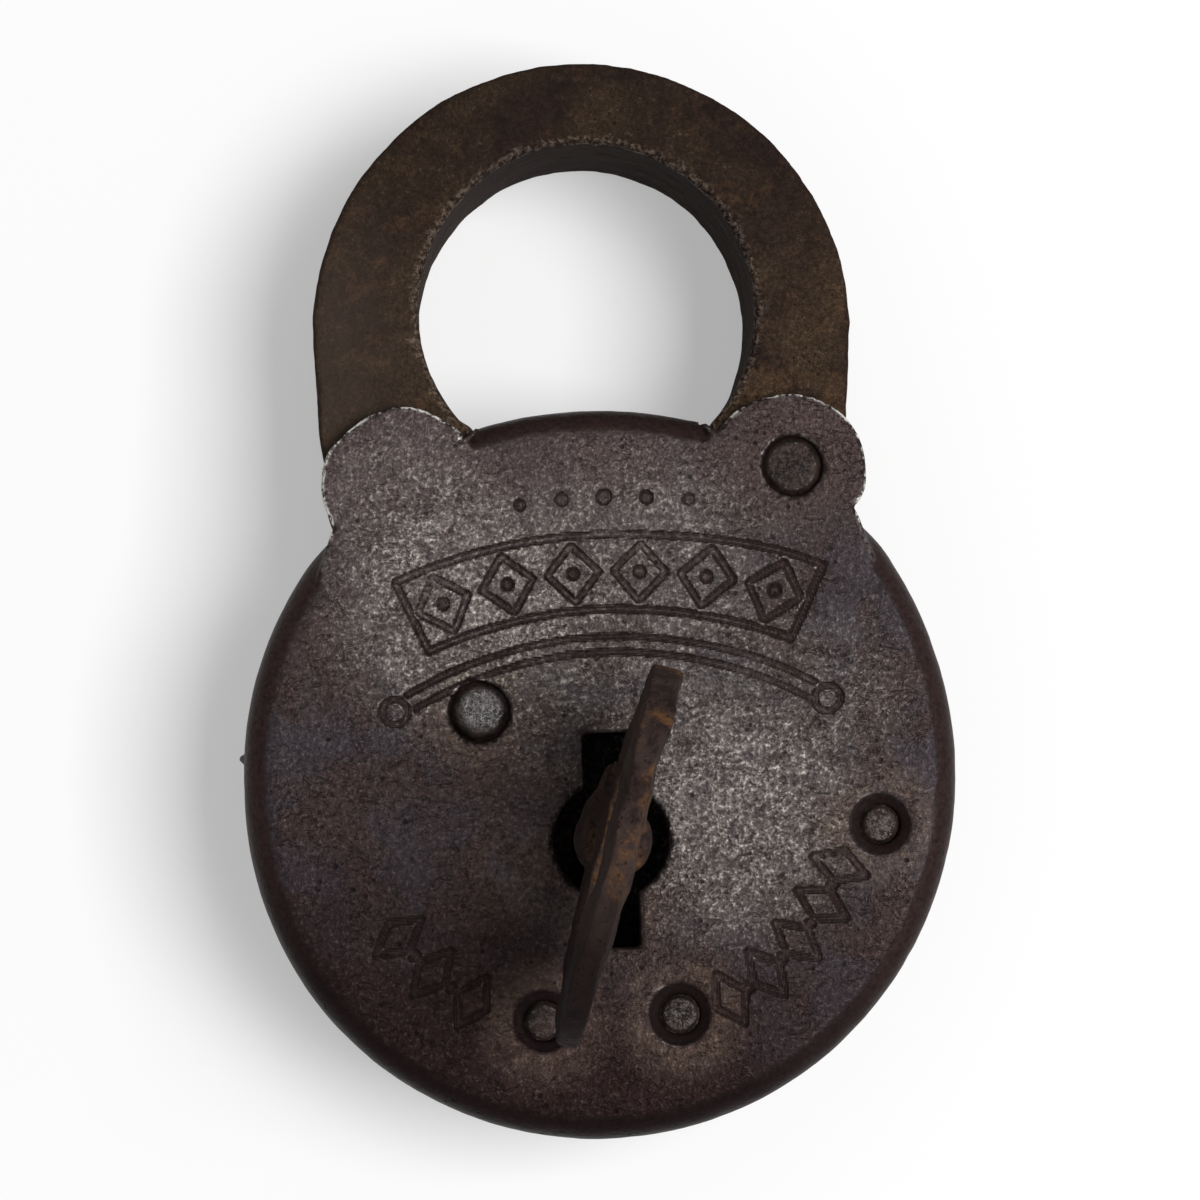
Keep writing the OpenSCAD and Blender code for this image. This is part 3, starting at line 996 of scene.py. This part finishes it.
@dataclass
class Relic:
    """A piece that starts as the merged copy of its CAD node and gets its age on top.

    The fields say which node it stands for and how it is meshed and worn; lengths are in
    millimetres.
    """

    node: str
    body: str
    slot: str
    name: str
    finish: Material
    voxel: float = 0.25
    smooth: int = 2
    swell: float = 0.03
    dent: float = 0.03
    seed: float = 1.0
    keep: float = 1.0
    face_from: float = 0.78
    face_to: float = 0.96

    def build(self) -> Piece:
        """Makes the mesh and returns the piece."""
        piece = self.blank()
        Bench.modify(
            piece, "REMESH", mode="VOXEL", voxel_size=self.voxel * MM, use_smooth_shade=True
        )
        Bench.modify(piece, "SMOOTH", factor=0.5, iterations=self.smooth)
        self.shape(piece)
        self.weather(piece)
        if self.keep < 1:
            self.thin(piece)
        Bench.hold(piece)
        bpy.ops.object.shade_smooth()
        return piece

    def blank(self) -> Piece:
        """Returns what the piece is made from: the copy of its node."""
        return Bench.copy_of(self.node, self.name)

    def shape(self, piece: Piece) -> None:
        """Gives the piece what its node lacks; a plain piece has nothing to add."""

    def weather(self, piece: Piece) -> None:
        """Moves the skin in and out a little, with a scatter of dents.

        Args:
            piece: the piece.
        """
        points, normals = Bench.points(piece), Bench.normals(piece)
        lift = self.swell * MM * clouds_at(points, 0.35, 4, self.seed)
        lift -= self.dent * MM * dents_at(points, 0.45, 0.42, self.seed + 3)
        Bench.move(piece, points + lift[:, None] * normals)

    def thin(self, piece: Piece) -> None:
        """Collapses the mesh to the share that is kept."""
        Bench.modify(piece, "DECIMATE", ratio=self.keep, use_collapse_triangulate=False)

    def note(self, piece: Piece) -> None:
        """Stores where the piece is rubbed, darkened by grime and painted shade in corners, and
        facing up.

        Args:
            piece: the piece.
        """
        bulge = Bench.bulge(piece)
        normals = Bench.normals(piece)
        Bench.store(piece, "wear", bulge)
        # grime and painted shade in corners and recesses
        Bench.store(piece, "grime_and_shade", grime_and_shade_in(bulge))
        Bench.store(piece, "face", step(np.abs(normals[:, 2]), self.face_from, self.face_to))

    def make(self) -> None:
        """Builds the piece, and gives it its finish and its place in the frame."""
        piece = self.build()
        self.note(piece)
        piece.data.materials.append(self.finish)
        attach(piece, self.body)
        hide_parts(self.node)
        piece.data.calc_loop_triangles()
        log.info("%s: %d triangles", self.name, len(piece.data.loop_triangles))


class Side(Enum):
    """Which of the two shells a piece is."""

    FRONT = "front"
    BACK = "back"


@dataclass
class CaseShell(Relic):
    """One of the two drawn shells, a little out of round, with a burr and trimmed ears.

    Each table has rows of an angle in degrees and how far the rim there is moved out.
    """

    side: Side = Side.FRONT
    struck: StruckPattern = field(default_factory=StruckPattern)
    face_z: float = 17.5
    out_of_round: tuple[Flat, ...] = (
        (0, 0.20), (20, 0.50), (38, 1.10), (50, 1.0), (75, 0.1), (90, 0.0), (142, 0.45),
        (180, -0.15), (220, 0.15), (270, 0.0), (315, -0.05), (340, 0.05), (360, 0.20),
    )
    left_ear: tuple[Flat, ...] = (
        (0, 0.5), (25, 1.25), (45, 0.6), (60, 0.35), (80, 0.0), (96, -0.5), (121, -0.85),
        (140, -0.9), (153, -0.65), (180, -0.5), (215, -0.1), (230, 0.45), (245, 0.4), (270, 0),
        (340, 0), (360, 0.5),
    )
    right_ear: tuple[Flat, ...] = (
        (0, 0.15), (60, 0.0), (105, 0.1), (135, 0.5), (155, 0.75), (180, 0.3), (210, 0),
        (360, 0.15),
    )
    burr_at: float = 174.5
    burr_out: float = 0.6
    case_r: float = 29.5
    push_to_left: float = 30.8
    push_to_right: float = 33.5
    inside_r: float = 27.6
    plate: float = 1.3
    keyhole_room: float = 10.5

    def top_of(self, points: np.ndarray) -> np.ndarray:
        """Gives how far points stand above the other shell's face, in millimetres."""
        height = points[:, 2] / MM
        return height if self.side is Side.FRONT else self.face_z - height

    def shape(self, piece: Piece) -> None:
        """Strikes the pattern into the front face, and pushes both shells out of round.

        Args:
            piece: the shell.
        """
        if self.side is Side.FRONT:
            self.refine(piece)
        points = Bench.points(piece)
        groove = np.zeros(len(points))
        if self.side is Side.FRONT:
            groove = self.strike(points)
        ears = step(radii(points), 28.95, 29.7) * (points[:, 1] > 0)
        self.push(points)
        for side, shifts in ((-1, self.left_ear), (1, self.right_ear)):
            away = points[:, :2] - np.array(centre_of("shackle_rivet")) * (side, 1)
            far = radii(away)
            trim = np.interp(bearings(away), *zip(*shifts))
            trim *= step(far, 2.5, 5.0) * step(far, 8.5, 7.0) * ears
            points[:, :2] += away * (trim / np.maximum(far, 1))[:, None]
        Bench.move(piece, points)
        Bench.store(piece, "groove", groove)

    def strike(self, points: np.ndarray) -> np.ndarray:
        """Strikes the pattern into points of the front face, which are moved.

        Args:
            points: rows in metres.

        Returns:
            How deep each point lies in the pattern, from 0 to 1.
        """
        face = step(self.top_of(points), self.face_z - 0.9, self.face_z - 0.35)
        depth, _ = self.struck.depth_at(points[:, :2] / MM)
        worn = 0.72 + 0.28 * clouds_at(points, 0.12, 2, 40)
        depth = depth * np.clip(worn, 0.35, 1)
        points[:, 2] -= depth * face * MM
        return depth * face / self.struck.depth

    def push(self, points: np.ndarray) -> None:
        """Pushes points out of round, and raises the burr on the left side.

        Args:
            points: rows in metres, which are moved.
        """
        r, angle = radii(points), bearings(points)
        push = np.interp(angle, *zip(*self.out_of_round)) * step(r, 12, 27)
        away = np.abs((angle - self.burr_at + 180) % 360 - 180)
        off = np.abs(points[:, 2] / MM - self.face_z / 2)
        push += self.burr_out * step(away, 1.3, 0.2) * step(off, 3.2, 1.2) * step(r, 28, 28.6)
        push_to = np.where(points[:, 0] > 0, self.push_to_right, self.push_to_left)
        push *= 1 - step(r, self.case_r, push_to) * (points[:, 1] > 0)
        push *= step(radii(points[:, :2] - centre_of("shackle_rivet")), 3.0, 6.2)
        points[:, :2] *= (1 + push / np.maximum(r, 1))[:, None]

    def refine(self, piece: Piece) -> None:
        """Divides the faces that the pattern touches.

        Args:
            piece: the shell.
        """
        faces = piece.data.polygons
        centres = Bench.rows(faces, "center")
        _, clear = self.struck.depth_at(centres[:, :2] / MM)
        chosen = (clear < 0.28) & (clear > -0.6) & (centres[:, 2] > (self.face_z - 0.5) * MM)
        Bench.hold(piece)
        bpy.ops.object.mode_set(mode="EDIT")
        bpy.ops.mesh.select_mode(type="FACE")
        bpy.ops.mesh.select_all(action="DESELECT")
        bpy.ops.object.mode_set(mode="OBJECT")
        faces.foreach_set("select", chosen)
        bpy.ops.object.mode_set(mode="EDIT")
        bpy.ops.mesh.subdivide(number_cuts=1)
        bpy.ops.object.mode_set(mode="OBJECT")

    def thin(self, piece: Piece) -> None:
        """Collapses the inside of the shell, and leaves the outside as it is.

        Args:
            piece: the shell.
        """
        points = Bench.points(piece)
        hole = radii(points[:, :2] - centre_of("drill_pin")) < self.keyhole_room
        inner = (self.top_of(points) < self.face_z - self.plate) & (radii(points) < self.inside_r)
        group = piece.vertex_groups.new(name="inner")
        group.add([int(i) for i in np.nonzero(inner & ~hole)[0]], 1.0, "REPLACE")
        Bench.modify(
            piece, "DECIMATE", ratio=self.keep, vertex_group="inner", vertex_group_factor=1.0,
            use_collapse_triangulate=False,
        )

    def note(self, piece: Piece) -> None:
        """Stores the wear, the stains around rivets and keyhole, and the ears' bare lips.

        Args:
            piece: the shell.
        """
        super().note(piece)
        points, bulge = Bench.points(piece), Bench.bulge(piece)
        grime_and_shade, halo = grime_and_shade_in(bulge), np.zeros(len(points))
        for seat in SEATS:
            r = radii(points[:, :2] - centre_of(seat.node)) - seat.dish_r
            # the finish paints the dishes' shade, so the corner darkening is cleared there
            grime_and_shade *= 1 - step(r, 0.9, 0.6)
            halo = np.maximum(halo, seat.stain * step(r, 4.0, 0.3) * step(r, -0.1, 0.2))
        r = radii(points[:, :2] - centre_of("drill_pin"))
        halo = np.maximum(halo, 0.6 * step(r, 13, 6) * step(points[:, 1] / MM, 0, -9))
        Bench.store(piece, "grime_and_shade", grime_and_shade)
        Bench.store(piece, "halo", halo)
        lip = np.zeros(len(points))
        for side, keen in ((-1, 1.0), (1, 0.85)):
            r = radii(points[:, :2] - np.array(centre_of("shackle_rivet")) * (side, 1))
            lip = np.maximum(lip, keen * step(r, 4.4, 4.9) * step(r, 7.5, 7.0))
        lip *= step(radii(points), 28.2, 29.4) * step(bulge, 0.0, 0.20)
        lip *= step(self.top_of(points), self.face_z - 0.9, self.face_z - 0.5)
        Bench.store(piece, "lip", lip)


@dataclass
class RivetHeads(Relic):
    """A rivet whose upper head was hammered to a low dome."""

    dome: float = 0.3
    head: float = 1.55
    fall: float = 0.35

    def shape(self, piece: Piece) -> None:
        """Domes the upper end of the rivet.

        Args:
            piece: the rivet.
        """
        points = Bench.points(piece)
        r = radii(points[:, :2] - centre_of(self.node)) / self.head
        top = points[:, 2].max()
        dome = self.dome * np.clip(1 - r**2, 0, 1) - self.fall * step(r, 0.78, 1.0)
        points[:, 2] += dome * MM * step(points[:, 2], top - 0.5 * MM, top - 0.05 * MM)
        Bench.move(piece, points)


@dataclass
class ForgedShackle(Relic):
    """The shackle bar: edges worn round, and a toe that stands close to the crown."""

    toe_x: float = -9.506
    toe_low: float = 25.6
    toe_high: float = 31.0
    toe_fill: float = 0.42
    heel_lean: float = 0.35
    rounding: int = 12

    def shape(self, piece: Piece) -> None:
        """Rounds the edges, fills the toe where it meets the crown, and leans the heel out.

        Args:
            piece: the shackle.
        """
        Bench.modify(piece, "SMOOTH", factor=0.5, iterations=self.rounding)
        points = Bench.points(piece)
        x, y = points[:, 0] / MM, points[:, 1] / MM
        fill = step(np.abs(x - self.toe_x), 1.0, 0.3) * step(y, self.toe_low, self.toe_low + 1.2)
        fill *= step(y, self.toe_high + 1.0, self.toe_high - 1.8)
        lean = step(x, 14.0, 19.0) * step(y, 37.0, 31.0) * step(y, 24.5, 28.0)
        points[:, 0] += (fill * self.toe_fill + lean * self.heel_lean) * MM
        Bench.move(piece, points)

    def note(self, piece: Piece) -> None:
        """Stores the wear, which is strongest on the inner edge of the loop.

        Args:
            piece: the shackle.
        """
        super().note(piece)
        low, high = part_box(self.node)
        radius = (high.x - low.x) / 2
        r = radii(Bench.points(piece)[:, :2] - (low.x + radius, high.y - radius))
        Bench.store(piece, "wear", Bench.bulge(piece) * (1 - 0.85 * step(r, 15.5, 17.5)))


@dataclass
class ForgedKey(Relic):
    """The key: a hammered bow that is even in thickness, with a gusset down to its collar.

    The table has rows of a place along the bow and how thick it is there beside its node.
    """

    turn: float = 17.0
    foot_z: float = 21.1
    shift: float = 1.3
    thickness: tuple[Flat, ...] = (
        (-16, 1.5), (-13, 1.1), (-7, 0.80), (0, 0.78), (6, 0.84), (12, 0.84), (17, 0.9),
    )
    gusset_low_r: float = 3.0
    gusset_high_r: float = 1.2
    gusset_high: float = 5.6
    gusset_lean: float = 5.0

    def blank(self) -> Piece:
        """Returns the copied key with the gusset joined to it."""
        piece = super().blank()
        Bench.clear()
        x, y = centre_of("drill_pin")
        bpy.ops.mesh.primitive_cone_add(
            vertices=24, radius1=self.gusset_low_r * MM, radius2=self.gusset_high_r * MM,
            depth=self.gusset_high * MM, location=(x, y, self.foot_z * MM + 0.9 * MM),
        )
        cone = bpy.context.object
        bpy.ops.object.transform_apply(location=True, rotation=True, scale=True)
        points = Bench.points(cone)
        away = (points[:, 2] - points[:, 2].min()) / np.ptp(points[:, 2])
        points[:, 0] -= away * 0.1 * MM
        points[:, 1] += away * self.gusset_lean * MM
        Bench.move(cone, points)
        Bench.hold(piece)
        cone.select_set(True)
        bpy.ops.object.join()
        return piece

    def shape(self, piece: Piece) -> None:
        """Evens out the bow's thickness, rounds its rim and lets it wander a little.

        Args:
            piece: the key.
        """
        points = Bench.points(piece)
        a = math.radians(90 - self.turn)
        along = np.array([-math.cos(a), -math.sin(a)])
        across = np.array([math.sin(a), -math.cos(a)])
        flat = (points[:, :2] - centre_of("drill_pin")) / MM
        u, v, z = flat @ along, flat @ across, points[:, 2] / MM
        bow = step(z, self.foot_z - 0.2, self.foot_z + 2.5)
        scale = np.interp(u - self.shift, *zip(*self.thickness))
        rim = 1 - 0.30 * step(z, self.foot_z + 17.5, self.foot_z + 20.2)
        wander = 0.12 * np.sin(u * 0.42 + 0.6) + 0.07 * np.sin(u * 1.1 + z * 0.3)
        move = (v * scale * rim + wander - v) * bow
        points[:, :2] += move[:, None] * across * MM
        Bench.move(piece, points)

    def note(self, piece: Piece) -> None:
        """Stores the wear, the grime and painted shade in corners and on the darker lower end, and
        the painted light: how far each side faces the light.

        Args:
            piece: the key.
        """
        super().note(piece)
        points, normals = Bench.points(piece), Bench.normals(piece)
        z = points[:, 2] / MM
        # painted light: sides that face right and up are lit, the collar and stem fully, fading to
        # shade deep in the keyhole
        lit = 0.5 + 0.5 * step(0.5 * normals[:, 0] + normals[:, 2] * 0.5, -0.15, 0.35)
        lit = np.maximum(lit, step(z, 21.3, 20.4)) * step(z, 10, 15)
        # the end of the key towards the bottom is made darker
        foot = 0.97 * step(-points[:, 1] / MM, 6, 15)
        Bench.store(piece, "grime_and_shade", np.maximum(grime_and_shade_in(Bench.bulge(piece)), foot))
        Bench.store(piece, "lit", lit * (1 - foot))


# ---- Stage ----


@dataclass
class Studio:
    """The floor, the light and the camera."""

    eye: tuple[float, float, float] = (-13.7, -5.6, 337.5)
    aim: tuple[float, float, float] = (0.43, 14.45, 17.5)
    roll: float = 1.7
    lens: float = 120.0
    lamp_at: tuple[float, float, float] = (0.66, -0.04, 1.22)
    lamp_size: float = 0.75
    lamp_power: float = 18.0
    sky: float = 0.26
    floor_z: float = -0.25
    floor_colour: float = 0.62
    floor_glow: float = 0.37

    def camera(self) -> None:
        """Places the camera and makes it the scene's."""
        Bench.clear()
        eye, aim = Vector(self.eye) * MM, Vector(self.aim) * MM
        bpy.ops.object.camera_add(location=eye)
        camera = bpy.context.object
        camera.name = "camera"
        back = (eye - aim).normalized()
        a = math.radians(self.roll)
        right = Vector((math.cos(a), -math.sin(a), 0))
        right = (right - right.dot(back) * back).normalized()
        up = back.cross(right)
        turn = Matrix((right, up, back)).transposed().to_4x4()
        camera.matrix_world = Matrix.Translation(eye) @ turn
        camera.data.lens = self.lens
        camera.data.sensor_width = 36
        camera.data.clip_start = 0.01
        bpy.context.scene.camera = camera

    def lamp(self) -> None:
        """Adds the large soft lamp on the right."""
        Bench.clear()
        place = Vector(self.lamp_at)
        turn = place.to_track_quat("Z", "Y").to_euler()
        bpy.ops.object.light_add(type="AREA", location=place, rotation=turn)
        lamp = bpy.context.object
        lamp.name = "window"
        lamp.data.size = self.lamp_size
        lamp.data.energy = self.lamp_power

    def even_sky(self) -> None:
        """Lights the scene evenly; where the sky is seen it is white."""
        g = Graph(bpy.data.worlds.new("sky"))
        even = g.add("Background", {"Color": WHITE, "Strength": self.sky})
        white = g.add("Background", {"Color": WHITE, "Strength": 1.0})
        shaders = {0: g.seen(), 1: even.outputs[0], 2: white.outputs[0]}
        bpy.context.scene.world = g.end(g.add("MixShader", shaders), "OutputWorld")

    def floor(self) -> None:
        """Adds the pale floor."""
        Bench.clear()
        bpy.ops.mesh.primitive_plane_add(size=6, location=(0, 0, self.floor_z * MM))
        floor = bpy.context.object
        floor.name = "floor"
        g = Graph(bpy.data.materials.new("floor_paper"))
        paper = g.add("BsdfDiffuse", {"Color": (self.floor_colour,) * 3})
        glow = g.add("Emission", {"Color": WHITE, "Strength": g.seen() * self.floor_glow})
        both = g.add("AddShader", {0: paper.outputs[0], 1: glow.outputs[0]})
        floor.data.materials.append(g.end(both))

    def build(self) -> None:
        """Sets the whole stage."""
        self.camera()
        self.lamp()
        self.even_sky()
        self.floor()
        bpy.context.scene.view_settings.view_transform = "Standard"


@dataclass(frozen=True)
class Works:
    """What is inside the case: the CAD nodes stay and get their finishes."""

    levers: int = 6
    spring: Colour = (0.20, 0.19, 0.18)
    steel: Colour = (0.26, 0.24, 0.22)
    pin: Colour = (0.085, 0.076, 0.071)

    def dress(self) -> None:
        """Puts a finish on every node that stays visible."""
        brass = TarnishedBrass().make()
        spring = DullSteel("oiled_spring", self.spring, spots=0.55).make()
        plain = DullSteel("oiled_steel", self.steel).make()
        pin = DullSteel("pin_steel", self.pin, spots=0.50).make()
        finishes = {f"lever_{k}": brass for k in range(1, self.levers + 1)}
        finishes |= {f"lever_spring_{k}": spring for k in range(1, self.levers + 1)}
        finishes |= {"kick_spring": spring, "drill_pin": pin}
        finishes |= {"post_spacer_back": plain, "post_spacer_front": plain}
        for name, material in finishes.items():
            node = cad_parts[name]
            node.data.materials.clear()
            node.data.materials.append(material)
            log.info("%s: %s", name, material.name)


def make_shells() -> None:
    """Makes the two shells of the case."""
    patina = PatinaSteel().make()
    face = {"face_from": 0.90, "face_to": 0.955}
    CaseShell(
        "front_case", "case", "case_steel", "case_front", patina,
        voxel=0.28, seed=1, keep=0.72, side=Side.FRONT, **face,
    ).make()
    CaseShell(
        "back_case", "case", "case_steel", "case_back", patina,
        voxel=0.32, seed=9, keep=0.8, side=Side.BACK, **face,
    ).make()


def make_rivets() -> None:
    """Makes the five rivets: one polished, two dull, two in between."""
    plain = RivetSteel().make()
    dull = RivetSteel("rivet_dull", rubbed=0.3).make()
    # the middle of the polished head's painted highlight, a little up and to the right
    lit = tuple(c / MM + 0.45 for c in centre_of("lever_post"))
    polished = RivetSteel(
        "rivet_bright", grey=(0.150, 0.142, 0.144), rubbed=0.95, polish=1.0, lit_at=lit
    ).make()
    for node, metal, dome, head in (
        ("shackle_rivet", dull, 0.12, 2.35),
        ("lever_post", polished, 0.60, 2.35),
        ("case_rivet_left", dull, 0.12, 1.55),
        ("case_rivet_right", plain, 0.12, 1.55),
        ("case_rivet_side", plain, 0.12, 1.55),
    ):
        RivetHeads(
            node, "case", "rivet_steel", node + "_worn", metal,
            voxel=0.16, swell=0.04, dent=0.06, dome=dome, head=head,
        ).make()


def main() -> None:
    """Builds the padlock and its stage, in order."""
    logging.basicConfig(level=logging.INFO, format="%(name)s: %(message)s")
    Studio().build()
    make_shells()
    ForgedShackle(
        "shackle", "shackle", "shackle_iron", "shackle_bar", ShackleIron().make(),
        voxel=0.3, smooth=3, swell=0.08, dent=0.06, seed=4,
    ).make()
    ForgedKey(
        "key", "key", "key_iron", "key_forged", KeyRust().make(),
        voxel=0.2, smooth=9, swell=0.10, dent=0.10, seed=6,
    ).make()
    make_rivets()
    Works().dress()


if __name__ == "__main__":
    main()
